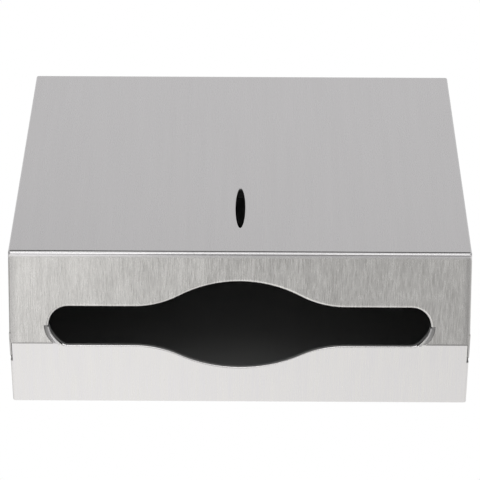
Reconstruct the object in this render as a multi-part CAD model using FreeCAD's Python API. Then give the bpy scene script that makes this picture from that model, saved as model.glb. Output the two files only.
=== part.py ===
import FreeCAD, Part
import math
import os

from FreeCAD import Placement, Rotation, Vector

# Wall-hung dispenser for folded paper towels, in satin stainless sheet.
# Millimetres, +Z up, the front faces -Y and the wall is the plane y = 0.
# The origin is the middle of the four wall-fixing holes, on the back's outer face.

# Outer sizes of the box
WIDTH = 280.0
BODY_HEIGHT = 240.5
BODY_DEPTH = 44.6
COVER_DEPTH = 53.6
LIP_DROP = 20.0
SHEET = 1.0
BEND_RADIUS = 1.5
FOLD_RADIUS = 2.6
LIP_CORNER_RADIUS = 2.4

# Lap of the cover's lip over the body's lower edge
LAP_GAP = 0.3
LAP_OVERLAP = 0.6
SEAM_GAP = 0.6
JOIN_DEPTH = 0.3
TONGUE_ROOT = 11.0

# Towel slot, measured along the lip from its rear end
SLOT_SIDE_MARGIN = 24.25
SLOT_WIDTH = 23.2
BULGE_RISE = 15.9
BULGE_HALF_SPAN = 64.0
BULGE_CROWN_SHARE = 0.575
RIM_DEPTH = 2.2
RIM_JOINT_GAP = 2.0
RIM_ROUND = 0.8
RAISED_RIM_ROUND = 0.5
NOTCH_CLEARANCE = 3.0
TONGUE_LEAN = math.radians(8.0)

# Level window in the front, an upright ellipse
WINDOW_HEIGHT = 46.8
WINDOW_WIDTH = 6.2
WINDOW_ABOVE_FOLD = 27.8

# Wall-fixing holes, measured in from the body's outer edges
FIXING_FROM_SIDE = 40.0
FIXING_FROM_END = 45.25
FIXING_HOLE_RADIUS = 2.75

# Rebate round the body's mouth, which the closed cover covers
REBATE_REACH = 8.0
REBATE_GAP = 0.7
REBATE_FOOT = 9.0

# Hinge at the two lower corners
PIVOT_BEHIND_SEAM = 7.4
PIVOT_HEIGHT = 6.5
EAR_FOOT_GAP = 0.3
EAR_GAP = 0.4
PIN_RADIUS = 2.0
PIN_RUNNING_GAP = 0.05
COLLAR_RADIUS = 3.4
COLLAR_LENGTH = 0.6
BRACKET_SHEET = 1.2
BRACKET_BEND = 1.6
BRACKET_GAP = 0.1
BRACKET_HALF_WIDTH = 6.0
BRACKET_FOOT = 14.0
WASHER_RADIUS = 3.2
WASHER_THICKNESS = 0.5
CLIP_RADIUS = 3.0
CLIP_THICKNESS = 0.6
CLIP_GROOVE_DEPTH = 0.5
CLIP_PLAY = 0.06
CLIP_MOUTH_HALF = 1.2
PIN_END = 1.2

# Cam lock in the cover's top
LOCK_SETBACK = 13.0
LOCK_BARREL_RADIUS = 8.0
LOCK_BARREL_FLAT = 7.0
LOCK_BARREL_LENGTH = 16.0
LOCK_BEZEL_RADIUS = 9.5
LOCK_BEZEL_HEIGHT = 1.8
LOCK_BEZEL_CHAMFER = 0.7
LOCK_HOLE_GAP = 0.15
PLUG_RADIUS = 5.0
PLUG_RUNNING_GAP = 0.05
PLUG_RECESS = 0.2
KEYWAY_WIDTH = 1.3
KEYWAY_LENGTH = 6.4
KEYWAY_DEPTH = 9.0
NUT_ACROSS_FLATS = 20.0
NUT_THICKNESS = 2.6
NUT_CHAMFER = 0.6
NUT_WASHER_RADIUS = 10.4
NUT_WASHER_THICKNESS = 0.6
CAM_SQUARE = 6.0
CAM_SQUARE_GAP = 0.05
CAM_SQUARE_SHORT = 0.2
CAM_GAP = 0.1
CAM_THICKNESS = 2.0
CAM_HUB_RADIUS = 8.0
CAM_REACH = 22.0
CAM_ARM_WIDTH = 10.0
SCREW_RADIUS = 2.0
SCREW_HEAD_RADIUS = 3.6
SCREW_HEAD_HEIGHT = 2.4
SCREW_HEAD_CHAMFER = 0.8
CROSS_HALF_WIDTH = 0.4
CROSS_DEPTH = 1.2
SCREW_LENGTH = 7.0
SCREW_WASHER_RADIUS = 4.2
SCREW_WASHER_THICKNESS = 0.6

# Keeper that the lock's cam turns behind
KEEPER_SHEET = 1.5
KEEPER_HALF_WIDTH = 34.0
KEEPER_NOTCH_HALF = 13.0
KEEPER_DROP = 4.0
KEEPER_FLANGE = 16.0
KEEPER_WALL = 15.0
KEEPER_CAM_PLAY = 1.4

# Places that follow from the sizes
TOP_Z = BODY_HEIGHT / 2
BOTTOM_Z = -BODY_HEIGHT / 2
HALF_WIDTH = WIDTH / 2
SEAM_Y = -BODY_DEPTH
FRONT_Y = -(BODY_DEPTH + COVER_DEPTH)
LIP_SLOPE = math.atan2(LIP_DROP, COVER_DEPTH)
LIP_LAP = SHEET + LAP_GAP
LIP_END_Z = BOTTOM_Z - LIP_LAP / math.cos(LIP_SLOPE) - LAP_OVERLAP * math.tan(LIP_SLOPE)
FOLD_Z = LIP_END_Z + LIP_DROP
CREASE_Y = SEAM_Y - LAP_OVERLAP
PIVOT_Y = SEAM_Y + PIVOT_BEHIND_SEAM
PIVOT_Z = BOTTOM_Z + PIVOT_HEIGHT
INNER_X = HALF_WIDTH - SHEET
LOCK_Y = SEAM_Y - LOCK_SETBACK
LOCK_UNDERSIDE_Z = TOP_Z - LOCK_BARREL_LENGTH
SLOT_LENGTH = WIDTH - 2 * SLOT_SIDE_MARGIN
TONGUE_RUN = (SLOT_WIDTH - RIM_JOINT_GAP) / 2
EAR_RADIUS = PIVOT_HEIGHT - EAR_FOOT_GAP

# Reach of cutting shapes beyond the sheet, and tolerances for picking edges and hollowing
BEYOND = 50.0
TOUCH = 1e-5
HOLLOW_TOLERANCE = 1e-3


def box(x0, x1, y0, y1, z0, z1):
    """A block between two corners."""
    return Part.makeBox(x1 - x0, y1 - y0, z1 - z0, Vector(x0, y0, z0))


def rod(radius, length, start, direction):
    """A round bar from a start point."""
    return Part.makeCylinder(radius, length, start, direction)


def side_prism(points, x0, x1):
    """A prism along X from an outline of (y, z) points."""
    outline = Part.makePolygon([Vector(x0, y, z) for y, z in points + points[:1]])
    return Part.Face(outline).extrude(Vector(x1 - x0, 0, 0))


def mirrored(shape):
    """The same shape on the other side of the middle plane."""
    return shape.mirror(Vector(0, 0, 0), Vector(1, 0, 0))


def round_edges(solid, radius, wanted):
    """Fillets the edges that a test picks."""
    return solid.makeFillet(radius, [edge for edge in solid.Edges if wanted(edge)])


def lies_on_y(part, y):
    """True for an edge or a face that lies in the plane y."""
    return abs(part.BoundBox.YMin - y) < TOUCH and abs(part.BoundBox.YMax - y) < TOUCH


def open_shell(solid, open_y):
    """Hollows a closed solid to one sheet, left open on the plane y = open_y."""
    mouth = [face for face in solid.Faces if lies_on_y(face, open_y)]
    return solid.makeThickness(mouth, -SHEET, HOLLOW_TOLERANCE)


def towards_lip(shape):
    """Moves a shape drawn flat in (X, w) onto the lip's outer face.

    w runs up the lip from its rear end, and the shape's own Z points out of the face.
    """
    up_lip = Vector(0, -math.cos(LIP_SLOPE), math.sin(LIP_SLOPE))
    outward = Vector(0, -math.sin(LIP_SLOPE), -math.cos(LIP_SLOPE))
    placed = shape.copy()
    placed.Placement = Placement(Vector(0, SEAM_Y, LIP_END_Z),
                                 Rotation(Vector(1, 0, 0), up_lip, outward, "ZXY"))
    return placed


def towards_floor(shape):
    """Moves a shape drawn flat in (X, w) onto the body's level underside."""
    placed = shape.copy()
    placed.Placement = Placement(Vector(0, SEAM_Y, BOTTOM_Z),
                                 Rotation(Vector(1, 0, 0), Vector(0, -1, 0), Vector(0, 0, -1), "ZXY"))
    return placed


def soften(solid, radius, inside):
    """Fillets the edges whose whole length passes a test on their points."""
    def passes(edge):
        first, last = edge.ParameterRange
        return all(inside(edge.valueAt(first + (last - first) * step / 4)) for step in range(5))
    return round_edges(solid.Solids[0], radius, passes)


def slot_wire(grow):
    """The slot's outline in (X, w), grown by a margin: round ends, and a bulge each side.

    Each flank of a bulge is two arcs that meet in a tangent, the crown's and the shoulder's.
    """
    middle = SLOT_WIDTH / 2
    half_turn = 2 * math.atan2(BULGE_RISE, BULGE_HALF_SPAN)
    arc_sum = BULGE_HALF_SPAN / math.sin(half_turn)
    crown = arc_sum * BULGE_CROWN_SHARE + grow
    shoulder = arc_sum * (1 - BULGE_CROWN_SHARE) - grow
    end_radius = middle + grow
    end_x = SLOT_LENGTH / 2 - middle
    crown_w = end_radius + BULGE_RISE - crown
    shoulder_w = end_radius + shoulder
    meet_x = crown * math.sin(half_turn)
    edges = []

    def at(x, w, side):
        return Vector(x, middle + side * w, 0)

    def arc(start, through, end):
        edges.append(Part.Arc(start, through, end).toShape())

    def line(start, end):
        edges.append(Part.LineSegment(start, end).toShape())

    def flank(hand, side):
        """The shoulder's middle, and the place where shoulder and crown meet."""
        half = half_turn / 2
        shoulder_mid = at(hand * (BULGE_HALF_SPAN - shoulder * math.sin(half)),
                          shoulder_w - shoulder * math.cos(half), side)
        meet = at(hand * meet_x, crown_w + crown * math.cos(half_turn), side)
        return shoulder_mid, meet

    for side in (1, -1):
        first = -side
        near_mid, near_meet = flank(first, side)
        far_mid, far_meet = flank(-first, side)
        line(at(first * end_x, end_radius, side), at(first * BULGE_HALF_SPAN, end_radius, side))
        arc(at(first * BULGE_HALF_SPAN, end_radius, side), near_mid, near_meet)
        arc(near_meet, at(0, crown_w + crown, side), far_meet)
        arc(far_meet, far_mid, at(-first * BULGE_HALF_SPAN, end_radius, side))
        line(at(-first * BULGE_HALF_SPAN, end_radius, side), at(-first * end_x, end_radius, side))
        arc(at(-first * end_x, end_radius, side), at(-first * (end_x + end_radius), 0, side),
            at(-first * end_x, -end_radius, side))
    return Part.Wire(edges)


def slot_prism(grow, inward, outward):
    """The slot's outline as a prism from a depth inside the face to one outside it."""
    face = Part.Face(slot_wire(grow))
    face.translate(Vector(0, 0, -inward))
    return face.extrude(Vector(0, 0, inward + outward))


def slot_rim(w0, w1):
    """A one-sheet wall round the slot, over a stretch of w, drawn in from the face."""
    ring = slot_prism(SHEET, RIM_DEPTH, 0).cut(slot_prism(0, RIM_DEPTH + 1, 1))
    return ring.common(box(-WIDTH, WIDTH, w0, w1, -BEYOND, BEYOND))


def lower_band(depth, slope):
    """A band of the body's lower sheet: level, then folded up behind the lip at a slope."""
    rear_y = SEAM_Y + TONGUE_ROOT
    tip_y = CREASE_Y - TONGUE_RUN * math.cos(slope)
    tip_z = BOTTOM_Z + TONGUE_RUN * math.sin(slope)
    points = [(rear_y, BOTTOM_Z), (CREASE_Y, BOTTOM_Z), (tip_y, tip_z),
              (tip_y + depth * math.sin(slope), tip_z + depth * math.cos(slope)),
              (CREASE_Y + depth * math.tan(slope / 2), BOTTOM_Z + depth),
              (rear_y, BOTTOM_Z + depth)]
    reach = INNER_X - (BEND_RADIUS - SHEET) - LAP_GAP
    return side_prism(points, -reach, reach)


def rebate():
    """The stepped-in edge of the top and side walls, which goes inside the closed cover."""
    half = INNER_X - REBATE_GAP
    top = TOP_Z - SHEET - REBATE_GAP
    foot = PIVOT_Z + REBATE_FOOT
    back = SEAM_Y + SEAM_GAP + SHEET
    collar = box(-half, half, SEAM_Y - REBATE_REACH, back, foot, top)
    collar = round_edges(collar, BEND_RADIUS,
                         lambda edge: edge.BoundBox.ZMin > top - TOUCH
                         and edge.BoundBox.YLength > REBATE_REACH)
    step = box(-INNER_X - JOIN_DEPTH, INNER_X + JOIN_DEPTH, SEAM_Y + SEAM_GAP, back, foot,
               TOP_Z - SHEET + JOIN_DEPTH)
    step = round_edges(step, BEND_RADIUS - SHEET + JOIN_DEPTH,
                       lambda edge: edge.BoundBox.ZMin > TOP_Z - SHEET
                       and edge.BoundBox.YLength > SHEET - TOUCH)
    hollow = box(-half + SHEET, half - SHEET, SEAM_Y - BEYOND, BEYOND, BOTTOM_Z - BEYOND, top - SHEET)
    lock_bay = box(-KEEPER_NOTCH_HALF, KEEPER_NOTCH_HALF, SEAM_Y - BEYOND, SEAM_Y, 0, BEYOND + TOP_Z)
    return collar.fuse(step).cut(hollow).cut(lock_bay)


def ear_notch():
    """The opening in the body's lower front corner that the cover's ear turns in."""
    reach = EAR_RADIUS + EAR_GAP
    inner = INNER_X - EAR_GAP
    low = BOTTOM_Z - BEYOND
    swing = rod(reach, BEYOND, Vector(inner, PIVOT_Y, PIVOT_Z), Vector(1, 0, 0))
    front = box(inner, inner + BEYOND, SEAM_Y - BEYOND, PIVOT_Y, low, PIVOT_Z + reach)
    below = box(inner, inner + BEYOND, SEAM_Y - BEYOND, PIVOT_Y + reach, low, PIVOT_Z)
    return swing.fuse([front, below])


def fixing_holes():
    """The four round holes for the wall screws."""
    holes = []
    hole_x = HALF_WIDTH - FIXING_FROM_SIDE
    hole_z = TOP_Z - FIXING_FROM_END
    for x in (-hole_x, hole_x):
        for z in (-hole_z, hole_z):
            start = Vector(x, -SHEET * 2, z)
            holes.append(rod(FIXING_HOLE_RADIUS, SHEET * 3, start, Vector(0, 1, 0)))
    return holes


def wall_body():
    """The rear half: back, sides, top and lower sheet, folded and welded at the corners."""
    front = SEAM_Y + SEAM_GAP
    block = box(-HALF_WIDTH, HALF_WIDTH, front, 0, BOTTOM_Z, TOP_Z)
    block = round_edges(block, BEND_RADIUS, lambda edge: not lies_on_y(edge, front))
    shell = open_shell(block, front).fuse([lower_band(SHEET, LIP_SLOPE + TONGUE_LEAN), rebate()])
    shell = shell.cut(towards_floor(slot_prism(0, BEYOND, BEYOND)))
    ring = slot_prism(SHEET, BEYOND, BEYOND).cut(slot_prism(0, 2 * BEYOND, 2 * BEYOND))
    ring = ring.common(box(-WIDTH, WIDTH, -BEYOND, TONGUE_RUN, -BEYOND, BEYOND))
    shell = shell.fuse(towards_floor(ring).common(lower_rim_band()))
    notch = ear_notch()
    shell = shell.cut(fixing_holes() + [notch, mirrored(notch)]).removeSplitter()
    return soften(soften(shell, RIM_ROUND, on_lower_rim), RAISED_RIM_ROUND, on_raised_rim)


def lip_place(point):
    """How far a point lies up the lip from its rear end, and how far off its outer face."""
    from_end = point - Vector(0, SEAM_Y, LIP_END_Z)
    up_lip = from_end.z * math.sin(LIP_SLOPE) - from_end.y * math.cos(LIP_SLOPE)
    off_face = from_end.z * math.cos(LIP_SLOPE) + from_end.y * math.sin(LIP_SLOPE)
    return up_lip, off_face


def on_lower_rim(point):
    """True on the outer edge of the body's part of the slot."""
    level = abs(point.z - BOTTOM_Z) < TOUCH
    within_y = CREASE_Y - TOUCH < point.y < SEAM_Y + BULGE_RISE + SHEET
    return level and within_y and abs(point.x) < SLOT_LENGTH / 2


def on_raised_rim(point):
    """True on the inner edge of the two ends that the body's rim lifts to the lip's face."""
    up_lip, off_face = lip_place(point)
    middle = SLOT_WIDTH / 2
    to_edge = math.hypot(abs(point.x) - (SLOT_LENGTH / 2 - middle), up_lip - middle) - middle
    return abs(off_face) < TOUCH and abs(to_edge) < SHEET / 2 and up_lip < middle


def on_upper_rim(point):
    """True on the outer edge of the cover's part of the slot."""
    up_lip, off_face = lip_place(point)
    within = SLOT_WIDTH / 2 < up_lip < SLOT_WIDTH + BULGE_RISE + SHEET
    return within and abs(off_face) < TOUCH and abs(point.x) < SLOT_LENGTH / 2 + SHEET


def lower_rim_band():
    """The room that the lower rim takes: level at the rear, then flush with the lip's face."""
    rear = box(-HALF_WIDTH, HALF_WIDTH, CREASE_Y, 0, BOTTOM_Z, BOTTOM_Z + RIM_DEPTH)
    tip_y = SEAM_Y - TONGUE_RUN * math.cos(LIP_SLOPE)
    depth = (LIP_LAP + RIM_DEPTH) / math.cos(LIP_SLOPE)
    face = [(y, LIP_END_Z + (SEAM_Y - y) * math.tan(LIP_SLOPE)) for y in (CREASE_Y, tip_y)]
    points = face + [(y, z + depth) for y, z in reversed(face)]
    return rear.fuse(side_prism(points, -HALF_WIDTH, HALF_WIDTH))


def ear():
    """The cover's hinge ear, in the plane of its side wall."""
    neck = box(INNER_X, HALF_WIDTH, SEAM_Y - EAR_RADIUS, PIVOT_Y, PIVOT_Z - EAR_RADIUS,
               PIVOT_Z + EAR_RADIUS)
    disc = rod(EAR_RADIUS, SHEET, Vector(INNER_X, PIVOT_Y, PIVOT_Z), Vector(1, 0, 0))
    return neck.fuse(disc)


def lip_corner():
    """What the rounding of the lip's free corner takes away, seen from below."""
    x = HALF_WIDTH - LIP_CORNER_RADIUS
    y = SEAM_Y - LIP_CORNER_RADIUS
    low = LIP_END_Z - SHEET
    square = box(x, HALF_WIDTH + SHEET, y, SEAM_Y + SHEET, low, BOTTOM_Z)
    return square.cut(rod(LIP_CORNER_RADIUS, BOTTOM_Z - low, Vector(x, y, low), Vector(0, 0, 1)))


def level_window():
    """The upright elliptical slit in the front."""
    middle = Vector(0, FRONT_Y - SHEET, FOLD_Z + WINDOW_ABOVE_FOLD + WINDOW_HEIGHT / 2)
    ellipse = Part.Ellipse(Vector(0, 0, 0), WINDOW_HEIGHT / 2, WINDOW_WIDTH / 2)
    face = Part.Face(Part.Wire(ellipse.toShape()))
    face.Placement = Placement(middle, Rotation(Vector(0, 0, 1), Vector(-1, 0, 0),
                                                Vector(0, -1, 0), "ZXY"))
    return face.extrude(Vector(0, 3 * SHEET, 0))


def barrel_outline(margin):
    """The lock barrel's round outline with two flats, as a face at the lock's axis."""
    round_part = Part.Face(Part.Wire(Part.makeCircle(LOCK_BARREL_RADIUS + margin,
                                                    Vector(0, LOCK_Y, 0))))
    half = LOCK_BARREL_FLAT + margin
    band = Part.makePlane(4 * half, 2 * half, Vector(-2 * half, LOCK_Y - half, 0))
    return round_part.common(band).Faces[0]


def cover_block(inset):
    """The cover's outer form, or smaller by an inset everywhere but at its mouth."""
    front = FRONT_Y + inset
    lip_z = LIP_END_Z + inset / math.cos(LIP_SLOPE)
    fold = Vector(0, front, lip_z + (SEAM_Y - front) * math.tan(LIP_SLOPE))
    outline = [(SEAM_Y, lip_z), (front, fold.z), (front, TOP_Z - inset), (SEAM_Y, TOP_Z - inset)]
    block = side_prism(outline, inset - HALF_WIDTH, HALF_WIDTH - inset)
    radius = FOLD_RADIUS - inset
    block = round_edges(block, radius, lambda edge: edge.CenterOfMass.isEqual(fold, TOUCH))

    def wants_bend(edge):
        along_fold = edge.BoundBox.XLength > LIP_DROP and edge.BoundBox.ZMin < fold.z + radius
        return not lies_on_y(edge, SEAM_Y) and not along_fold

    return round_edges(block, BEND_RADIUS - inset, wants_bend)


def front_cover():
    """The front half: front, sides, top and the sloping lip with the slot's upper half."""
    shell = cover_block(0).cut(cover_block(SHEET))
    middle = SLOT_WIDTH / 2
    notch = slot_prism(NOTCH_CLEARANCE, BEYOND, BEYOND)
    notch = notch.common(box(-WIDTH, WIDTH, -BEYOND, middle, -BEYOND, BEYOND))
    shell = shell.cut([towards_lip(slot_prism(0, BEYOND, BEYOND)), towards_lip(notch)])
    rim = slot_rim(middle + RIM_JOINT_GAP / 2, BEYOND)
    ear_right = ear()
    shell = shell.fuse([towards_lip(rim), ear_right, mirrored(ear_right)]).removeSplitter()
    shell = soften(shell, RIM_ROUND, on_upper_rim)
    lock_hole = barrel_outline(LOCK_HOLE_GAP)
    lock_hole.translate(Vector(0, 0, TOP_Z - 2 * SHEET))
    corner = lip_corner()
    holes = [level_window(), lock_hole.extrude(Vector(0, 0, 3 * SHEET)), corner, mirrored(corner)]
    return shell.cut(holes).removeSplitter()


def hinge_bracket():
    """The angle on the body's lower sheet that carries the right-hand pin."""
    outer = INNER_X - COLLAR_LENGTH - BRACKET_GAP
    inner = outer - BRACKET_SHEET
    floor = BOTTOM_Z + SHEET
    front, rear = PIVOT_Y - BRACKET_HALF_WIDTH, PIVOT_Y + BRACKET_HALF_WIDTH
    upright = box(inner, outer, front, rear, floor, PIVOT_Z)
    head = rod(BRACKET_HALF_WIDTH, BRACKET_SHEET, Vector(inner, PIVOT_Y, PIVOT_Z), Vector(1, 0, 0))
    head = head.common(box(inner, outer, front, rear, PIVOT_Z, PIVOT_Z + BEYOND))
    foot = box(outer - BRACKET_FOOT, outer, front, rear, floor, floor + BRACKET_SHEET)
    angle = upright.fuse([head, foot]).removeSplitter().Solids[0]
    corner = Vector(outer, PIVOT_Y, floor)
    angle = round_edges(angle, BRACKET_BEND, lambda edge: edge.CenterOfMass.isEqual(corner, TOUCH))
    hole = rod(PIN_RADIUS + PIN_RUNNING_GAP, BEYOND, Vector(inner - 1, PIVOT_Y, PIVOT_Z),
               Vector(1, 0, 0))
    return angle.cut(hole)


def pin_places():
    """Distances from the side wall's inner face to the pin's shoulders."""
    bracket_end = COLLAR_LENGTH + BRACKET_GAP + BRACKET_SHEET
    washer = bracket_end + BRACKET_GAP
    clip = washer + WASHER_THICKNESS + BRACKET_GAP
    return washer, clip, clip + CLIP_THICKNESS + PIN_END


def pin_rod(radius, start, length):
    """A round piece on the right-hand pin's axis, from a distance inside the side wall."""
    return rod(radius, length, Vector(INNER_X - start, PIVOT_Y, PIVOT_Z), Vector(-1, 0, 0))


def hinge_pin():
    """The right-hand pin, welded to the ear's inner face, with a collar and a clip groove."""
    clip_start = pin_places()[1]
    length = pin_places()[2]
    pin = pin_rod(COLLAR_RADIUS, 0, COLLAR_LENGTH).fuse(pin_rod(PIN_RADIUS, 0, length))
    groove = pin_rod(PIN_RADIUS + 1, clip_start, CLIP_THICKNESS)
    groove = groove.cut(pin_rod(PIN_RADIUS - CLIP_GROOVE_DEPTH, clip_start, CLIP_THICKNESS))
    return pin.cut(groove).removeSplitter()


def hinge_washer():
    """The plain washer between bracket and clip."""
    start = pin_places()[0]
    disc = pin_rod(WASHER_RADIUS, start, WASHER_THICKNESS)
    return disc.cut(pin_rod(PIN_RADIUS + PIN_RUNNING_GAP, start, WASHER_THICKNESS))


def hinge_clip():
    """The sprung clip in the pin's groove, with its mouth towards the wall."""
    start = pin_places()[1] + CLIP_PLAY
    thickness = CLIP_THICKNESS - 2 * CLIP_PLAY
    core = PIN_RADIUS - CLIP_GROOVE_DEPTH
    disc = pin_rod(CLIP_RADIUS, start, thickness)
    hole = pin_rod(core + PIN_RUNNING_GAP, start, thickness)
    mouth = box(0, HALF_WIDTH, PIVOT_Y, PIVOT_Y + BEYOND, PIVOT_Z - CLIP_MOUTH_HALF,
                PIVOT_Z + CLIP_MOUTH_HALF)
    return disc.cut([hole, mouth])


def lock_keeper():
    """The bent strap under the body's top, with a bay that the lock slides into."""
    flange_y = SEAM_Y + SEAM_GAP + 2 * SHEET
    top = TOP_Z - SHEET
    plate = top - KEEPER_DROP
    wall_y = LOCK_Y - CAM_ARM_WIDTH / 2 - KEEPER_CAM_PLAY - KEEPER_SHEET
    sheet = KEEPER_SHEET
    outline = [(flange_y + KEEPER_FLANGE, top), (flange_y, top), (flange_y, plate), (wall_y, plate),
               (wall_y, plate - KEEPER_WALL), (wall_y + sheet, plate - KEEPER_WALL),
               (wall_y + sheet, plate - sheet), (flange_y + sheet, plate - sheet),
               (flange_y + sheet, top - sheet), (flange_y + KEEPER_FLANGE, top - sheet)]
    strap = side_prism(outline, -KEEPER_HALF_WIDTH, KEEPER_HALF_WIDTH)
    front_bend = [edge for edge in strap.Edges
                  if lies_on_y(edge, wall_y) and edge.BoundBox.ZMin > plate - TOUCH]
    strap = strap.makeFillet(sheet, front_bend)
    bay = box(-KEEPER_NOTCH_HALF, KEEPER_NOTCH_HALF, wall_y - 1, SEAM_Y, -BEYOND, TOP_Z)
    return strap.cut(bay)


def lock_rod(radius, bottom, top):
    """A round piece on the lock's axis between two heights."""
    return rod(radius, top - bottom, Vector(0, LOCK_Y, bottom), Vector(0, 0, 1))


def lock_barrel():
    """The lock's fixed barrel with its bezel on top of the cover."""
    barrel = barrel_outline(0)
    barrel.translate(Vector(0, 0, LOCK_UNDERSIDE_Z))
    barrel = barrel.extrude(Vector(0, 0, LOCK_BARREL_LENGTH))
    bezel = lock_rod(LOCK_BEZEL_RADIUS, TOP_Z, TOP_Z + LOCK_BEZEL_HEIGHT)
    top_edge = [edge for edge in bezel.Edges if edge.BoundBox.ZMin > TOP_Z + LOCK_BEZEL_CHAMFER]
    bezel = bezel.makeChamfer(LOCK_BEZEL_CHAMFER, top_edge)
    bore = lock_rod(PLUG_RADIUS + PLUG_RUNNING_GAP, LOCK_UNDERSIDE_Z - 1,
                    TOP_Z + LOCK_BEZEL_HEIGHT + 1)
    return barrel.fuse(bezel).cut(bore).removeSplitter()


def lock_plug():
    """The turning plug: keyway on top, a square below for the cam, and a screw hole."""
    top = TOP_Z + LOCK_BEZEL_HEIGHT - PLUG_RECESS
    square_end = cam_top() - CAM_THICKNESS + CAM_SQUARE_SHORT
    half = CAM_SQUARE / 2
    plug = lock_rod(PLUG_RADIUS, LOCK_UNDERSIDE_Z, top)
    square = box(-half, half, LOCK_Y - half, LOCK_Y + half, square_end, LOCK_UNDERSIDE_Z)
    keyway = box(-KEYWAY_WIDTH / 2, KEYWAY_WIDTH / 2, LOCK_Y - KEYWAY_LENGTH / 2,
                 LOCK_Y + KEYWAY_LENGTH / 2, top - KEYWAY_DEPTH, top)
    hole = lock_rod(SCREW_RADIUS + PLUG_RUNNING_GAP, square_end - 1, square_end + SCREW_LENGTH)
    return plug.fuse(square).cut([keyway, hole]).removeSplitter()


def cam_top():
    """The height of the cam's upper face, just under the barrel."""
    return LOCK_UNDERSIDE_Z - CAM_GAP


def lock_cam():
    """The flat cam, which points to the wall when unlocked."""
    bottom = cam_top() - CAM_THICKNESS
    half = CAM_ARM_WIDTH / 2
    hub = lock_rod(CAM_HUB_RADIUS, bottom, cam_top())
    arm = box(-half, half, LOCK_Y, LOCK_Y + CAM_REACH - half, bottom, cam_top())
    tip = rod(half, CAM_THICKNESS, Vector(0, LOCK_Y + CAM_REACH - half, bottom), Vector(0, 0, 1))
    side = CAM_SQUARE / 2 + CAM_SQUARE_GAP
    square = box(-side, side, LOCK_Y - side, LOCK_Y + side, bottom, cam_top())
    return hub.fuse([arm, tip]).cut(square).removeSplitter()


def lock_washer():
    """The washer between the cover's top and the lock's nut."""
    top = TOP_Z - SHEET
    disc = lock_rod(NUT_WASHER_RADIUS, top - NUT_WASHER_THICKNESS, top)
    return disc.cut(lock_rod(LOCK_BARREL_RADIUS + LOCK_HOLE_GAP, top - 2 * SHEET, top + SHEET))


def hexagon(across_flats, bottom, top):
    """A hexagonal prism on the lock's axis."""
    radius = across_flats / math.sqrt(3)
    corners = [Vector(radius * math.cos(math.radians(60 * i + 30)),
                      LOCK_Y + radius * math.sin(math.radians(60 * i + 30)), bottom)
               for i in range(7)]
    return Part.Face(Part.makePolygon(corners)).extrude(Vector(0, 0, top - bottom))


def lock_nut():
    """The hexagonal nut that clamps the barrel in the cover's top."""
    top = TOP_Z - SHEET - NUT_WASHER_THICKNESS
    nut = hexagon(NUT_ACROSS_FLATS, top - NUT_THICKNESS, top)
    blank = lock_rod(NUT_ACROSS_FLATS / 2 + NUT_CHAMFER, top - NUT_THICKNESS, top)
    rims = [edge for edge in blank.Edges if edge.BoundBox.ZLength < TOUCH]
    blank = blank.makeChamfer(NUT_CHAMFER, rims)
    bore = lock_rod(LOCK_BARREL_RADIUS + LOCK_HOLE_GAP, top - 2 * NUT_THICKNESS, top + 1)
    return nut.common(blank).cut(bore)


def screw_washer():
    """The washer between the cam and its screw."""
    top = cam_top() - CAM_THICKNESS
    disc = lock_rod(SCREW_WASHER_RADIUS, top - SCREW_WASHER_THICKNESS, top)
    return disc.cut(lock_rod(SCREW_RADIUS + PLUG_RUNNING_GAP, top - 2, top + 1))


def cam_screw():
    """The cross-headed screw that holds the cam on the plug."""
    seat = cam_top() - CAM_THICKNESS - SCREW_WASHER_THICKNESS
    head = lock_rod(SCREW_HEAD_RADIUS, seat - SCREW_HEAD_HEIGHT, seat)
    rim = [edge for edge in head.Edges if edge.BoundBox.ZMax < seat - TOUCH]
    head = head.makeChamfer(SCREW_HEAD_CHAMFER, rim)
    shank = lock_rod(SCREW_RADIUS, seat, seat + SCREW_LENGTH)
    low = seat - SCREW_HEAD_HEIGHT
    cross = [box(-x, x, LOCK_Y - y, LOCK_Y + y, low, low + CROSS_DEPTH)
             for x, y in ((CROSS_HALF_WIDTH, SCREW_RADIUS), (SCREW_RADIUS, CROSS_HALF_WIDTH))]
    return head.fuse(shank).cut(cross).removeSplitter()


def build():
    """Writes one file for each piece."""
    pieces = {
        "wall_body": wall_body(),
        "front_cover": front_cover(),
        "lock_keeper": lock_keeper(),
        "lock_barrel": lock_barrel(),
        "lock_plug": lock_plug(),
        "lock_washer": lock_washer(),
        "lock_nut": lock_nut(),
        "lock_cam": lock_cam(),
        "cam_washer": screw_washer(),
        "cam_screw": cam_screw(),
    }
    for name, make in (("hinge_bracket", hinge_bracket), ("hinge_pin", hinge_pin),
                       ("hinge_washer", hinge_washer), ("hinge_clip", hinge_clip)):
        pieces[name + "_right"] = make()
        pieces[name + "_left"] = mirrored(pieces[name + "_right"])
    os.makedirs("parts", exist_ok=True)
    for name, shape in pieces.items():
        shape.exportStep("parts/" + name + ".step")


build()
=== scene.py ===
import math

import bmesh
import bpy
from bpy.props import FloatProperty, FloatVectorProperty, PointerProperty
from mathutils import Matrix, Vector
from mathutils.kdtree import KDTree


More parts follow.
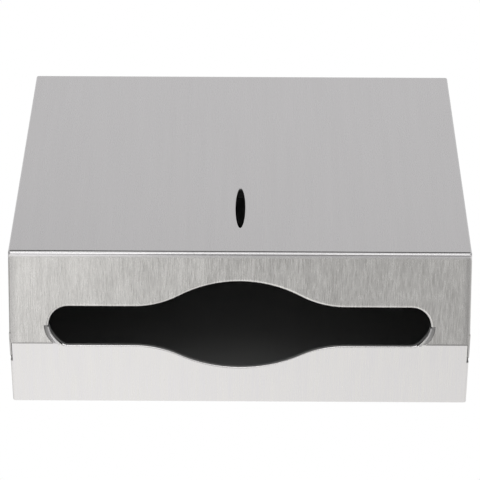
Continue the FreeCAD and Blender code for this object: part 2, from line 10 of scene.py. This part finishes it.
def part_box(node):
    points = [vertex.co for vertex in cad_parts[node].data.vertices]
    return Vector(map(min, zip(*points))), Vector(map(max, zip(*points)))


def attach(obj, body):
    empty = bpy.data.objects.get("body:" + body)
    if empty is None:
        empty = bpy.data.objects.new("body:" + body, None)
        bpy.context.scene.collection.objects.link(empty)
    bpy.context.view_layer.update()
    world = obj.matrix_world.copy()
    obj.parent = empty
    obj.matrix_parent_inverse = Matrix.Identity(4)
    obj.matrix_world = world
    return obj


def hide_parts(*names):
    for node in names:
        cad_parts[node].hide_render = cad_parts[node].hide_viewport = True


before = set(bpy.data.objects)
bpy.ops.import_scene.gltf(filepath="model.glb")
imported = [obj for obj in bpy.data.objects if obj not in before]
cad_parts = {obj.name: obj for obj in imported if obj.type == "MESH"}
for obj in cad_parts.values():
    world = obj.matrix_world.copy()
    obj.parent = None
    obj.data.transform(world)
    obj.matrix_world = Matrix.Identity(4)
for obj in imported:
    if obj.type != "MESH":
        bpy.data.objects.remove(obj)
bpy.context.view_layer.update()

bl_info = {
    "name": "Folded Paper Towel Dispenser",
    "version": (1, 0, 0),
    "blender": (4, 5, 0),
    "location": "View3D > Sidebar > Dispenser",
    "description": "Finishes a wall-hung steel dispenser for folded paper towels and its studio",
    "category": "Object",
}

MM = 0.001
WHITE = (1.0, 1.0, 1.0, 1.0)

# The photograph's camera: its place, its target, its tilt, and its lens and sensor in millimetres.
CAMERA_PLACE = Vector((5.204, -862.949, -1287.636)) * MM
CAMERA_TARGET = Vector((-0.395, -49.0, -10.508)) * MM
CAMERA_ROLL = math.radians(0.621)
CAMERA_LENS = 175.772
CAMERA_SENSOR = 36.0

BODY_LOW, BODY_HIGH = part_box("wall_body")
COVER_LOW, COVER_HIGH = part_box("front_cover")
SHEET = 1.0 * MM
FOLD_HEIGHT = COVER_LOW.z + 20.0 * MM
# The body is as high above the middle of its fixing holes as it is deep below it.
UNDERSIDE = -BODY_HIGH.z
# The plane where the two halves meet, and the lip's slope up from it.
SEAM = -44.6 * MM
LIP_SLOPE = math.atan2(FOLD_HEIGHT - COVER_LOW.z, SEAM - COVER_LOW.y)

# The slot's rear rim: within this of the middle, in front of this place, and this high over the underside.
# Its shift fades out over the last length, in front of the seam.
REAR_RIM_REACH = 118 * MM
REAR_RIM_BACK = -20 * MM
REAR_RIM_HEIGHT = 4 * MM
REAR_RIM_FADE = 4 * MM

# The slot's front rim: its rounding, how far it reaches from the middle, and how far up the lip.
RIM_ROUNDING = 0.8 * MM
FRONT_RIM_REACH = 120 * MM
FRONT_RIM_UP = 42 * MM

# The brushed pattern along X, Y and Z, in millimetres. Real grain is 0.05 mm wide; it is drawn as coarse as shows.
GRAIN_LENGTHS = (0.65, 26, 40)
LIP_GRAIN_LENGTHS = (0.65, 7, 14)
BAND_LENGTHS = (5, 40, 90)
LIP_WAVE_LENGTH = 40 * MM

# How far below and above the fold its burnished bend reaches, and how far back from the front.
BURNISH_BELOW, BURNISH_ABOVE, BURNISH_BACK = 0.7 * MM, 1.5 * MM, 2.5 * MM


def linear(code):
    """An sRGB hex value as linear red, green, blue and alpha."""
    parts = [int(code[i:i + 2], 16) / 255 for i in (1, 3, 5)]
    return tuple(c / 12.92 if c <= 0.04045 else ((c + 0.055) / 1.055) ** 2.4 for c in parts) + (1.0,)


def add(tree, kind, inputs=None, **settings):
    """Adds a node with its settings; an input is a value, or a socket to link from."""
    node = tree.nodes.new(kind)
    for key, value in settings.items():
        setattr(node, key, value)
    for key, value in (inputs or {}).items():
        if isinstance(value, bpy.types.NodeSocket):
            tree.links.new(value, node.inputs[key])
        else:
            node.inputs[key].default_value = value
    return node


def new_material(name):
    """An empty node material with its output."""
    material = bpy.data.materials.new(name)
    material.use_nodes = True
    material.node_tree.nodes.clear()
    output = material.node_tree.nodes.new("ShaderNodeOutputMaterial")
    return material, material.node_tree, output


def wear(node_name, material):
    """Gives a CAD node's material slots a finish."""
    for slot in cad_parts[node_name].material_slots:
        slot.material = material


def limits(tree, value, low, high, blur=0.2 * MM):
    """A mask that is 1 where a coordinate lies between two places, with soft edges."""
    rise = add(tree, "ShaderNodeMapRange", {"Value": value, "From Min": low - blur, "From Max": low + blur})
    fall = add(tree, "ShaderNodeMapRange", {"Value": value, "From Min": high + blur, "From Max": high - blur})
    return add(tree, "ShaderNodeMath", {0: rise.outputs[0], 1: fall.outputs[0]}, operation="MULTIPLY").outputs[0]


def sheet_copy(node_name, name, body, material, shape_it):
    """A finer sheet in a CAD node's place: the node's own mesh, merged, and then shaped by a function.

    Its corners keep the normals of the CAD's true bends.
    """
    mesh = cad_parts[node_name].data.copy()
    mesh.name = name
    normals = [0.0] * (3 * len(mesh.loops))
    mesh.corner_normals.foreach_get("vector", normals)
    mesh.attributes.new("bend_normal", "FLOAT_VECTOR", "CORNER").data.foreach_set("vector", normals)
    mesh.attributes.remove(mesh.attributes["custom_normal"])
    shape = bmesh.new()
    shape.from_mesh(mesh)
    bmesh.ops.remove_doubles(shape, verts=shape.verts, dist=0.001 * MM)
    shape_it(shape)
    shape.to_mesh(mesh)
    shape.free()
    mesh.shade_smooth()
    mesh.normals_split_custom_set([tuple(item.vector) for item in mesh.attributes["bend_normal"].data])
    mesh.attributes.remove(mesh.attributes["bend_normal"])
    mesh.materials.clear()
    mesh.materials.append(material)
    piece = bpy.data.objects.new(name, mesh)
    bpy.context.scene.collection.objects.link(piece)
    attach(piece, body)
    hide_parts(node_name)
    return piece


def set_back_rear_rim(shift):
    """Moves the slot's rear rim towards the wall; the move fades out where the rim rises behind the lip."""
    def shape_it(shape):
        for vert in shape.verts:
            x, y, z = vert.co
            if abs(x) < REAR_RIM_REACH and y < REAR_RIM_BACK and z < UNDERSIDE + REAR_RIM_HEIGHT:
                share = min(max(1 - (SEAM - y) / REAR_RIM_FADE, 0), 1) ** 2
                vert.co.y += shift * share
    return shape_it


def widen_front_rim(share):
    """Stretches the rounding of the slot's front rim outwards over the lip."""
    # Heights out of the lip are compared to within this.
    near_edge = 0.02 * MM
    up_lip = Vector((0, -math.cos(LIP_SLOPE), math.sin(LIP_SLOPE)))
    outward = Vector((0, -math.sin(LIP_SLOPE), -math.cos(LIP_SLOPE)))
    start = Vector((0, SEAM, COVER_LOW.z))

    def on_lip(place):
        """A place as X and the way up the lip, and its height out of the lip."""
        return Vector((place.x, (place - start).dot(up_lip), 0)), (place - start).dot(outward)

    def shape_it(shape):
        near = [vert for vert in shape.verts
                if abs(vert.co.x) < FRONT_RIM_REACH and on_lip(vert.co)[0].y < FRONT_RIM_UP]
        edge = [on_lip(vert.co)[0] for vert in near if abs(on_lip(vert.co)[1] + RIM_ROUNDING) < near_edge]
        tree = KDTree(len(edge))
        for index, place in enumerate(edge):
            tree.insert(place, index)
        tree.balance()
        for vert in near:
            place, height = on_lip(vert.co)
            if -RIM_ROUNDING + near_edge < height < near_edge / 2:
                nearest, index, distance = tree.find(place)
                if distance < RIM_ROUNDING * 1.1:
                    move = (place - nearest) * (share - 1)
                    vert.co += Vector((move.x, 0, 0)) + up_lip * move.y
    return shape_it


def grain_pattern(tree, place, below):
    """The brushed lines, and where their crests and the belt's wider bands show; below is the lip's mask."""
    lines = add(tree, "ShaderNodeMapping", {"Vector": place, "Scale": [1 / (part * MM) for part in GRAIN_LENGTHS]})
    lines = lines.outputs[0]
    if below:
        short = add(tree, "ShaderNodeMapping", {"Vector": place,
                                                "Scale": [1 / (part * MM) for part in LIP_GRAIN_LENGTHS]})
        lines = add(tree, "ShaderNodeMix", {0: below, 4: lines, 5: short.outputs[0]}, data_type="VECTOR").outputs[1]
    grain = add(tree, "ShaderNodeTexNoise", {"Vector": lines, "Scale": 1.0, "Detail": 2.5, "Roughness": 0.6})
    wide = add(tree, "ShaderNodeMapping", {"Vector": place, "Scale": [1 / (part * MM) for part in BAND_LENGTHS]})
    band = add(tree, "ShaderNodeTexNoise", {"Vector": wide.outputs[0], "Scale": 1.0, "Detail": 2.0})
    both = add(tree, "ShaderNodeMath", {0: band.outputs["Fac"], 1: 0.35, 2: grain.outputs["Fac"]},
               operation="MULTIPLY_ADD")
    crests = add(tree, "ShaderNodeMapRange", {"Value": both.outputs[0], "From Min": 0.5, "From Max": 0.85})
    return grain.outputs["Fac"], crests.outputs[0]


def lip_edge_shade(tree, normal, parts, below):
    """A mask of painted shade: along the lip's rear edge at the seam, and on the bends to its sides where they face
    down.
    """
    rear = limits(tree, parts["Z"], COVER_LOW.z - 1, COVER_LOW.z + 0.3 * MM, 0.15 * MM)
    across = add(tree, "ShaderNodeMath", {0: parts["X"]}, operation="ABSOLUTE")
    bend = add(tree, "ShaderNodeMapRange", {"Value": across.outputs[0], "From Min": COVER_HIGH.x - 6 * MM,
                                            "From Max": COVER_HIGH.x, "To Max": 0.8})
    # The bends count only where they face down.
    facing = add(tree, "ShaderNodeSeparateXYZ", {0: normal}).outputs["Z"]
    down = add(tree, "ShaderNodeMapRange", {"Value": facing, "From Min": -0.3, "From Max": -0.8,
                                            "To Max": bend.outputs[0]})
    sides = add(tree, "ShaderNodeMath", {0: down.outputs[0], 1: below}, operation="MULTIPLY")
    return add(tree, "ShaderNodeMath", {0: rear, 1: sides.outputs[0]}, operation="MAXIMUM").outputs[0]


def dull_and_shaded_lap(tree, normal, parts):
    """How much of the mill's dull grey the body's inner faces take: all of it on upright walls and behind the seam;
    in front of the seam the lap's level faces take only part, as painted shade for the recess under the lip's
    notch.
    """
    facing = add(tree, "ShaderNodeSeparateXYZ", {0: normal}).outputs["Z"]
    level = add(tree, "ShaderNodeMath", {0: facing}, operation="ABSOLUTE")
    upright = add(tree, "ShaderNodeMapRange", {"Value": level.outputs[0], "From Min": 0.35, "From Max": 0.6,
                                               "To Min": 1.0, "To Max": 0.4})
    return add(tree, "ShaderNodeMapRange", {"Value": parts["Y"], "From Min": SEAM - 0.3 * MM,
                                            "From Max": SEAM + 0.3 * MM, "To Min": upright.outputs[0]}).outputs[0]


def burnished_fold(tree, parts, rough):
    """The roughness with the fold halved: the press burnishes it, so it mirrors the studio more sharply."""
    level = limits(tree, parts["Z"], FOLD_HEIGHT - BURNISH_BELOW, FOLD_HEIGHT + BURNISH_ABOVE, 0.4 * MM)
    front = limits(tree, parts["Y"], COVER_LOW.y - 1, COVER_LOW.y + BURNISH_BACK)
    fold = add(tree, "ShaderNodeMath", {0: level, 1: front}, operation="MULTIPLY")
    sharp = add(tree, "ShaderNodeMapRange", {"Value": fold.outputs[0], "To Min": 1.0, "To Max": 0.5})
    return add(tree, "ShaderNodeMath", {0: rough, 1: sharp.outputs[0]}, operation="MULTIPLY").outputs[0]


def brushed_stainless(name, props, low, high, lip=False):
    """Brushed stainless sheet: fine straight grain, which the eye reads as soft upright streaks.

    low and high are the box of the sheet's inner faces, which keep the mill's dull grey.
    """
    material, tree, output = new_material(name)
    coordinates = add(tree, "ShaderNodeTexCoord").outputs
    place, facing = coordinates["Object"], coordinates["Normal"]
    parts = add(tree, "ShaderNodeSeparateXYZ", {0: place}).outputs
    # The lip reaches from its rear edge to just below the fold.
    below = limits(tree, parts["Z"], COVER_LOW.z - 1, FOLD_HEIGHT - 1 * MM, 0.3 * MM) if lip else None
    grain, crests = grain_pattern(tree, place, below)

    groove, crest = props.dark_grain, props.warm_grain
    if lip:
        # Painted shade: the lip's rear edge and its down-facing side bends take a darker colour.
        lip_shade_mask = lip_edge_shade(tree, facing, parts, below)
        tones = []
        for upper, lower in ((props.dark_grain, props.lip_groove), (props.pale_grain, props.warm_grain)):
            tone = add(tree, "ShaderNodeMix", {"Factor": below, 6: upper, 7: lower}, data_type="RGBA")
            tones.append(add(tree, "ShaderNodeMix", {"Factor": lip_shade_mask, 6: tone.outputs[2], 7: props.painted_edge_shade},
                             data_type="RGBA").outputs[2])
        groove, crest = tones
    outside = add(tree, "ShaderNodeMix", {"Factor": crests, 6: groove, 7: crest}, data_type="RGBA")

    # In front of the seam, the lap's share of mill grey is painted shade for the recess under the lip's notch.
    inside = 1.0 if lip else dull_and_shaded_lap(tree, facing, parts)
    for axis in range(3):
        mask = limits(tree, parts[axis], low[axis], high[axis])
        inside = add(tree, "ShaderNodeMath", {0: mask, 1: inside}, operation="MULTIPLY").outputs[0]
    colour = add(tree, "ShaderNodeMix", {"Factor": inside, 6: outside.outputs[2], 7: props.mill_grey},
                 data_type="RGBA")
    # The mill's skin inside scatters part of the light as a dull grey paint would.
    metal = add(tree, "ShaderNodeMapRange", {"Value": inside, "To Min": 1.0, "To Max": 0.45})
    spread = add(tree, "ShaderNodeMapRange", {"Value": grain, "From Min": 0.3, "From Max": 0.7,
                                              "To Min": props.roughness - 0.03, "To Max": props.roughness + 0.05})
    rough = add(tree, "ShaderNodeMath", {0: inside, 1: 0.3, 2: spread.outputs[0]},
                operation="MULTIPLY_ADD").outputs[0]

    relief = {"Height": grain, "Strength": 0.10, "Distance": props.grain_depth}
    if lip:
        rough = burnished_fold(tree, parts, rough)
        # The lip's grain is deeper, and its fold and slot pull it a little out of flat, in slow waves.
        deeper = add(tree, "ShaderNodeMapRange", {"Value": below, "To Min": relief["Strength"], "To Max": 1.0})
        wave = add(tree, "ShaderNodeTexNoise", {"Vector": place, "Scale": 1 / LIP_WAVE_LENGTH, "Detail": 1.0})
        sway = add(tree, "ShaderNodeBump", {"Height": wave.outputs["Fac"], "Strength": below,
                                            "Distance": props.lip_wave})
        relief.update({"Strength": deeper.outputs[0], "Normal": sway.outputs[0]})
    bump = add(tree, "ShaderNodeBump", relief)
    # Grain spreads a reflection across itself, so the tangent lies across the upright grain.
    across = add(tree, "ShaderNodeVectorMath", {0: facing, 1: (0.0, 0.2, 1.0)}, operation="CROSS_PRODUCT")
    tangent = add(tree, "ShaderNodeVectorTransform", {0: across.outputs[0]}, vector_type="VECTOR",
                  convert_from="OBJECT", convert_to="WORLD")
    shader = add(tree, "ShaderNodeBsdfPrincipled", {
        "Base Color": colour.outputs[2], "Metallic": metal.outputs[0], "Roughness": rough,
        "Anisotropic": 0.6, "Tangent": tangent.outputs[0], "Normal": bump.outputs[0]})
    tree.links.new(shader.outputs[0], output.inputs["Surface"])
    return material


def plated_metal(name, pale, dark, roughness, spot_mm):
    """Plated or bare small hardware: a cloudy film that shows as soft changes of tone."""
    material, tree, output = new_material(name)
    place = add(tree, "ShaderNodeTexCoord").outputs["Object"]
    cloud = add(tree, "ShaderNodeTexNoise", {"Vector": place, "Scale": 1 / (spot_mm * MM), "Detail": 4.0})
    colour = add(tree, "ShaderNodeMix", {"Factor": cloud.outputs["Fac"], 6: dark, 7: pale}, data_type="RGBA")
    rough = add(tree, "ShaderNodeMapRange", {"Value": cloud.outputs["Fac"], "To Min": roughness - 0.06,
                                             "To Max": roughness + 0.06})
    bump = add(tree, "ShaderNodeBump", {"Height": cloud.outputs["Fac"], "Strength": 0.1, "Distance": 0.02 * MM})
    shader = add(tree, "ShaderNodeBsdfPrincipled", {
        "Base Color": colour.outputs[2], "Metallic": 1.0, "Roughness": rough.outputs[0],
        "Normal": bump.outputs[0]})
    tree.links.new(shader.outputs[0], output.inputs["Surface"])
    return material


class SteelProperties(bpy.types.PropertyGroup):
    pale_grain: FloatVectorProperty(
        name="Pale grain", description="Colour of the steel on the crests of its grain",
        default=linear("#E5E3E4"), size=4, subtype="COLOR", min=0, max=1)
    dark_grain: FloatVectorProperty(
        name="Dark grain", description="Colour of the steel in the grain's grooves",
        default=linear("#E0DEDF"), size=4, subtype="COLOR", min=0, max=1)
    lip_groove: FloatVectorProperty(
        name="Lip grooves", description="Colour of the deeper grooves on the lip",
        default=linear("#CBC9C6"), size=4, subtype="COLOR", min=0, max=1)
    warm_grain: FloatVectorProperty(
        name="Underside grain", description="Colour of the grain's crests on the lip and the underside",
        default=linear("#E6E4E1"), size=4, subtype="COLOR", min=0, max=1)
    # Painted shade: a darker colour for the lip's rear edge and down-facing side bends, standing in for shadow.
    painted_edge_shade: FloatVectorProperty(
        name="Painted edge shade", description="Colour of the painted shade on the lip's rear edge and side bends",
        default=linear("#B0AEAD"), size=4, subtype="COLOR", min=0, max=1)
    roughness: FloatProperty(
        name="Roughness", description="How far the brushing spreads a reflection",
        default=0.24, min=0.1, max=0.9, subtype="FACTOR")
    grain_depth: FloatProperty(
        name="Grain depth", description="Depth of the brushed grain as it is drawn",
        default=0.040 * MM, min=0, max=MM, precision=6, unit="LENGTH")
    lip_wave: FloatProperty(
        name="Lip waves", description="Height of the slow waves in the lip",
        default=0.8 * MM, min=0, max=5 * MM, precision=5, unit="LENGTH")
    rear_rim_shift: FloatProperty(
        name="Rear rim shift", description="How far the slot's rear rim is set back towards the wall",
        default=2.3 * MM, min=0, max=5 * MM, precision=5, unit="LENGTH")
    rim_stretch: FloatProperty(
        name="Front rim stretch", description="How far the rounding of the slot's front rim is stretched",
        default=2.1, min=1, max=4)
    mill_grey: FloatVectorProperty(
        name="Inner faces", description="Colour of the unbrushed inner faces",
        default=linear("#909090"), size=4, subtype="COLOR", min=0, max=1)


class HardwareProperties(bpy.types.PropertyGroup):
    chrome: FloatVectorProperty(
        name="Lock plating", description="Colour of the lock's bright plating",
        default=linear("#D2D3D4"), size=4, subtype="COLOR", min=0, max=1)
    zinc: FloatVectorProperty(
        name="Zinc plating", description="Colour of the zinc on the lock's small parts",
        default=linear("#B9BDC0"), size=4, subtype="COLOR", min=0, max=1)


class StudioProperties(bpy.types.PropertyGroup):
    floor_drop: FloatProperty(
        name="Floor drop", description="Height of the dispenser's middle above the floor",
        default=1.5, min=1.4, unit="LENGTH")
    floor_colour: FloatVectorProperty(
        name="Floor", description="Colour of the pale floor",
        default=linear("#E6E6E6"), size=4, subtype="COLOR", min=0, max=1)


class DISPENSER_OT_shell(bpy.types.Operator):
    """Gives the wall body and the front cover their brushed stainless finish"""
    bl_idname = "dispenser.shell"
    bl_label = "Finish the Steel Shell"

    def execute(self, context):
        props = context.scene.dispenser_steel
        half = Vector((SHEET / 2,) * 3)
        low = Vector((BODY_LOW.x, COVER_LOW.y, UNDERSIDE)) + half
        high = BODY_HIGH - half
        body = brushed_stainless("brushed_stainless_body", props, low, high)
        cover = brushed_stainless("brushed_stainless_cover", props, Vector((low.x, low.y, FOLD_HEIGHT)), high,
                                  lip=True)
        sheet_copy("wall_body", "body_sheet", "wall", body, set_back_rear_rim(props.rear_rim_shift))
        sheet_copy("front_cover", "cover_sheet", "cover", cover,
                   widen_front_rim(props.rim_stretch))
        wear("wall_body", body)
        wear("front_cover", cover)
        wear("lock_keeper", body)
        return {"FINISHED"}


class DISPENSER_OT_hardware(bpy.types.Operator):
    """Gives the lock and the hinges their plated finishes"""
    bl_idname = "dispenser.hardware"
    bl_label = "Finish the Lock and Hinges"

    def execute(self, context):
        props = context.scene.dispenser_hardware
        # Bright chrome plating on the lock: nearly a mirror, which gives the eye a hard glint.
        chrome = plated_metal("chrome_plated_zinc", props.chrome, linear("#B4B6B8"), 0.16, 3)
        # Blue-white zinc plating on the small parts: a little cloudy and cool.
        zinc = plated_metal("zinc_plated_steel", props.zinc, linear("#8F9498"), 0.36, 2)
        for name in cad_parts:
            if name in ("lock_barrel", "lock_plug"):
                wear(name, chrome)
            elif name.startswith("hinge") or name in ("lock_washer", "lock_nut", "lock_cam", "cam_washer",
                                                      "cam_screw"):
                wear(name, zinc)
        return {"FINISHED"}


def softbox(name, place, target, size, level):
    """A soft square lamp that the camera itself doesn't see; at level 1 it looks white in a mirror."""
    light = bpy.data.lights.new(name, "AREA")
    light.shape = "RECTANGLE"
    light.size, light.size_y = size
    light.energy = level * math.pi * size[0] * size[1]
    lamp = bpy.data.objects.new(name, light)
    bpy.context.scene.collection.objects.link(lamp)
    lamp.location = place
    lamp.rotation_mode = "QUATERNION"
    lamp.rotation_quaternion = (Vector(target) - Vector(place)).to_track_quat("-Z", "Y")
    lamp.visible_camera = False
    return lamp


# The soft lamps: name, place, the place they face, their size in metres, and their level.
LAMPS = (
    ("lamp_front", (0.0, -1.7, 1.4), (0, 0, 0), (1.4, 1.4), 0.05),
    # From below on the left, into the slot.
    ("lamp_low", (-0.6, -0.1, -0.9), (0, -0.06, -0.1), (0.5, 0.5), 0.5),
    # The fold mirrors this one as a white line.
    ("lamp_fold", (0, -1.22, -0.63), (0, -0.1, -0.12), (0.9, 0.66), 1.4),
)

# How light the studio looks in the steel, from straight down (-1) to straight up (1): a dark band stands in front
# of the object, over the camera, and the walls beside it are plain. These levels and the floor's are fitted, so
# that the steel mirrors what it mirrors in the photograph.
ROOM_LEVELS = ((-1.0, 0.80), (0.23, 0.75), (0.29, 0.03), (0.69, 0.03), (0.80, 0.53), (0.88, 0.68), (1.0, 0.76))
PLAIN_LEVELS = ((-1.0, 0.80), (0.3, 0.72), (0.6, 0.45), (0.88, 0.70), (1.0, 0.77))

# Where the dark band gives way to the plain walls at each side, and the walls to the white backdrop behind.
BAND_SIDES = (0.3, 0.5)
BACKDROP_EDGE = (0.05, 0.35)

# The room's left side is darker than its right, except high up: its dimness, the rise of its edge, and the edge.
LEFT_LEVEL = 0.6
LEFT_RISE = 0.6
LEFT_EDGE = (-0.75, -0.45)

FLOOR_SIZE = 40.0

# Painted light and shade on the floor, seen only in the steel's reflections: its levels in metres from the wall,
# with a painted shadow below the object.
FLOOR_LEVELS = ((-1.7, 0.95), (-1.1, 0.85), (-0.85, 0.40), (-0.55, 0.45), (-0.36, 0.98), (-0.2, 0.68),
                (-0.12, 0.72), (0.0, 0.97), (0.85, 0.97), (1.0, 1.03))

# The share of that light from left to right: below the object, and far behind it.
NEAR_SHARES = ((-1.5, 0.6), (-0.8, 0.7), (-0.40, 1.22), (-0.17, 1.72), (-0.10, 0.35), (0.2, 0.69), (0.6, 0.90))
FAR_SHARES = ((-0.5, 0.97), (-0.2, 1.14), (0.0, 0.99), (0.5, 0.87))
FAR_EDGE = (0.2, 0.6)


def grey_ramp(tree, value, levels):
    """A ramp of greys through (place, level) pairs on a coordinate."""
    low, high = levels[0][0], levels[-1][0]
    share = add(tree, "ShaderNodeMapRange", {"Value": value, "From Min": low, "From Max": high})
    ramp = add(tree, "ShaderNodeValToRGB", {0: share.outputs[0]})
    elements = ramp.color_ramp.elements
    while len(elements) < len(levels):
        elements.new(0.5)
    for element, (place, level) in zip(elements, levels):
        element.position = (place - low) / (high - low)
        element.color = (level, level, level, 1.0)
    return ramp.outputs[0]


def studio_floor(props):
    """The pale floor; in the steel's reflections it glows instead, with painted bands of light and shade and a
    painted shadow below the object.
    """
    mesh = bpy.data.meshes.new("floor")
    shape = bmesh.new()
    bmesh.ops.create_grid(shape, x_segments=1, y_segments=1, size=FLOOR_SIZE / 2)
    bmesh.ops.translate(shape, verts=shape.verts, vec=(0, 0, -props.floor_drop))
    shape.to_mesh(mesh)
    shape.free()
    floor = bpy.data.objects.new("floor", mesh)
    bpy.context.scene.collection.objects.link(floor)
    material, tree, output = new_material("matt_floor_with_painted_reflection")
    place = add(tree, "ShaderNodeTexCoord").outputs["Object"]
    cloud = add(tree, "ShaderNodeTexNoise", {"Vector": place, "Scale": 1.5, "Detail": 2.0})
    colour = add(tree, "ShaderNodeMix", {"Factor": cloud.outputs["Fac"], 6: props.floor_colour,
                                         7: linear("#EFEFEF")}, data_type="RGBA")
    paint = add(tree, "ShaderNodeBsdfPrincipled", {"Base Color": colour.outputs[2], "Roughness": 0.9})
    parts = add(tree, "ShaderNodeSeparateXYZ", {0: place})
    levels = grey_ramp(tree, parts.outputs["Y"], FLOOR_LEVELS)
    near = grey_ramp(tree, parts.outputs["X"], NEAR_SHARES)
    far = grey_ramp(tree, parts.outputs["X"], FAR_SHARES)
    behind = add(tree, "ShaderNodeMapRange", {"Value": parts.outputs["Y"], "From Min": FAR_EDGE[0],
                                              "From Max": FAR_EDGE[1]})
    share = add(tree, "ShaderNodeMix", {"Factor": behind.outputs[0], 6: near, 7: far}, data_type="RGBA")
    # Painted reflection: to the steel's reflections the floor glows in bands of light and shade, with a painted
    # shadow below the object.
    light = add(tree, "ShaderNodeEmission", {"Color": levels, "Strength": share.outputs[2]})
    seen = add(tree, "ShaderNodeLightPath").outputs["Is Glossy Ray"]
    both = add(tree, "ShaderNodeMixShader", {0: seen, 1: paint.outputs[0], 2: light.outputs[0]})
    tree.links.new(both.outputs[0], output.inputs["Surface"])
    mesh.materials.append(material)


def studio_world():
    """A pale studio: a white backdrop behind the object, and grey walls that the steel reflects."""
    world = bpy.data.worlds.new("studio_world")
    bpy.context.scene.world = world
    world.use_nodes = True
    tree = world.node_tree
    tree.nodes.clear()
    direction = add(tree, "ShaderNodeTexCoord").outputs["Generated"]
    parts = add(tree, "ShaderNodeSeparateXYZ", {0: direction})
    banded = grey_ramp(tree, parts.outputs["Z"], ROOM_LEVELS)
    plain = grey_ramp(tree, parts.outputs["Z"], PLAIN_LEVELS)
    width = add(tree, "ShaderNodeMath", {0: parts.outputs["X"]}, operation="ABSOLUTE")
    beside = add(tree, "ShaderNodeMapRange", {"Value": width.outputs[0], "From Min": BAND_SIDES[0],
                                              "From Max": BAND_SIDES[1]})
    room = add(tree, "ShaderNodeMix", {"Factor": beside.outputs[0], 6: banded, 7: plain},
               data_type="RGBA").outputs[2]
    behind = add(tree, "ShaderNodeMapRange", {"Value": parts.outputs["Y"], "From Min": BACKDROP_EDGE[0],
                                              "From Max": BACKDROP_EDGE[1]}, interpolation_type="SMOOTHSTEP")
    whole = add(tree, "ShaderNodeMix", {"Factor": behind.outputs[0], 6: room, 7: WHITE}, data_type="RGBA")
    left = add(tree, "ShaderNodeMath", {0: parts.outputs["Z"], 1: LEFT_RISE, 2: parts.outputs["X"]},
               operation="MULTIPLY_ADD")
    side = add(tree, "ShaderNodeMapRange", {"Value": left.outputs[0], "From Min": LEFT_EDGE[0],
                                            "From Max": LEFT_EDGE[1], "To Min": LEFT_LEVEL})
    dimmed = add(tree, "ShaderNodeVectorMath", {0: whole.outputs[2], "Scale": side.outputs[0]},
                 operation="SCALE")
    seen = add(tree, "ShaderNodeLightPath").outputs["Is Camera Ray"]
    colour = add(tree, "ShaderNodeMix", {"Factor": seen, 6: dimmed.outputs[0], 7: WHITE}, data_type="RGBA")
    back = add(tree, "ShaderNodeBackground", {"Color": colour.outputs[2], "Strength": 1.0})
    output = tree.nodes.new("ShaderNodeOutputWorld")
    tree.links.new(back.outputs[0], output.inputs["Surface"])


def studio_camera():
    """The camera, with the photograph's place, tilt and lens."""
    data = bpy.data.cameras.new("studio_camera")
    data.lens = CAMERA_LENS
    data.sensor_width = CAMERA_SENSOR
    data.clip_start, data.clip_end = 0.05, 50
    camera = bpy.data.objects.new("studio_camera", data)
    bpy.context.scene.collection.objects.link(camera)
    back = (CAMERA_PLACE - CAMERA_TARGET).normalized()
    right = Vector((-back.y, back.x, 0)).normalized()
    up = back.cross(right)
    turned_right = right * math.cos(CAMERA_ROLL) + up * math.sin(CAMERA_ROLL)
    turned_up = up * math.cos(CAMERA_ROLL) - right * math.sin(CAMERA_ROLL)
    turn = Matrix((turned_right, turned_up, back)).transposed()
    camera.matrix_world = Matrix.Translation(CAMERA_PLACE) @ turn.to_4x4()
    bpy.context.scene.camera = camera


class DISPENSER_OT_studio(bpy.types.Operator):
    """Makes the floor, the soft lamps, the pale world and the camera"""
    bl_idname = "dispenser.studio"
    bl_label = "Make the Studio"

    def execute(self, context):
        props = context.scene.dispenser_studio
        studio_floor(props)
        for lamp in LAMPS:
            softbox(*lamp)
        studio_world()
        studio_camera()
        context.scene.view_settings.view_transform = "Standard"
        return {"FINISHED"}


class DISPENSER_PT_panel(bpy.types.Panel):
    bl_idname = "DISPENSER_PT_panel"
    bl_label = "Towel Dispenser"
    bl_space_type = "VIEW_3D"
    bl_region_type = "UI"
    bl_category = "Dispenser"

    def draw(self, context):
        scene = context.scene
        for group, operators in ((scene.dispenser_steel, ("dispenser.shell",)),
                                 (scene.dispenser_hardware, ("dispenser.hardware",)),
                                 (scene.dispenser_studio, ("dispenser.studio",))):
            column = self.layout.column()
            for key in group.__annotations__:
                column.prop(group, key)
            for operator in operators:
                column.operator(operator)


GROUPS = (("dispenser_steel", SteelProperties), ("dispenser_hardware", HardwareProperties),
          ("dispenser_studio", StudioProperties))
OPERATORS = (DISPENSER_OT_shell, DISPENSER_OT_hardware, DISPENSER_OT_studio)


def register():
    for name, group in GROUPS:
        bpy.utils.register_class(group)
        setattr(bpy.types.Scene, name, PointerProperty(type=group))
    for item in OPERATORS + (DISPENSER_PT_panel,):
        bpy.utils.register_class(item)


def unregister():
    for item in (DISPENSER_PT_panel,) + OPERATORS[::-1]:
        bpy.utils.unregister_class(item)
    for name, group in GROUPS[::-1]:
        delattr(bpy.types.Scene, name)
        bpy.utils.unregister_class(group)


def main():
    register()
    for operator in (bpy.ops.dispenser.shell, bpy.ops.dispenser.hardware, bpy.ops.dispenser.studio):
        operator()


if __name__ == "__main__":
    main()
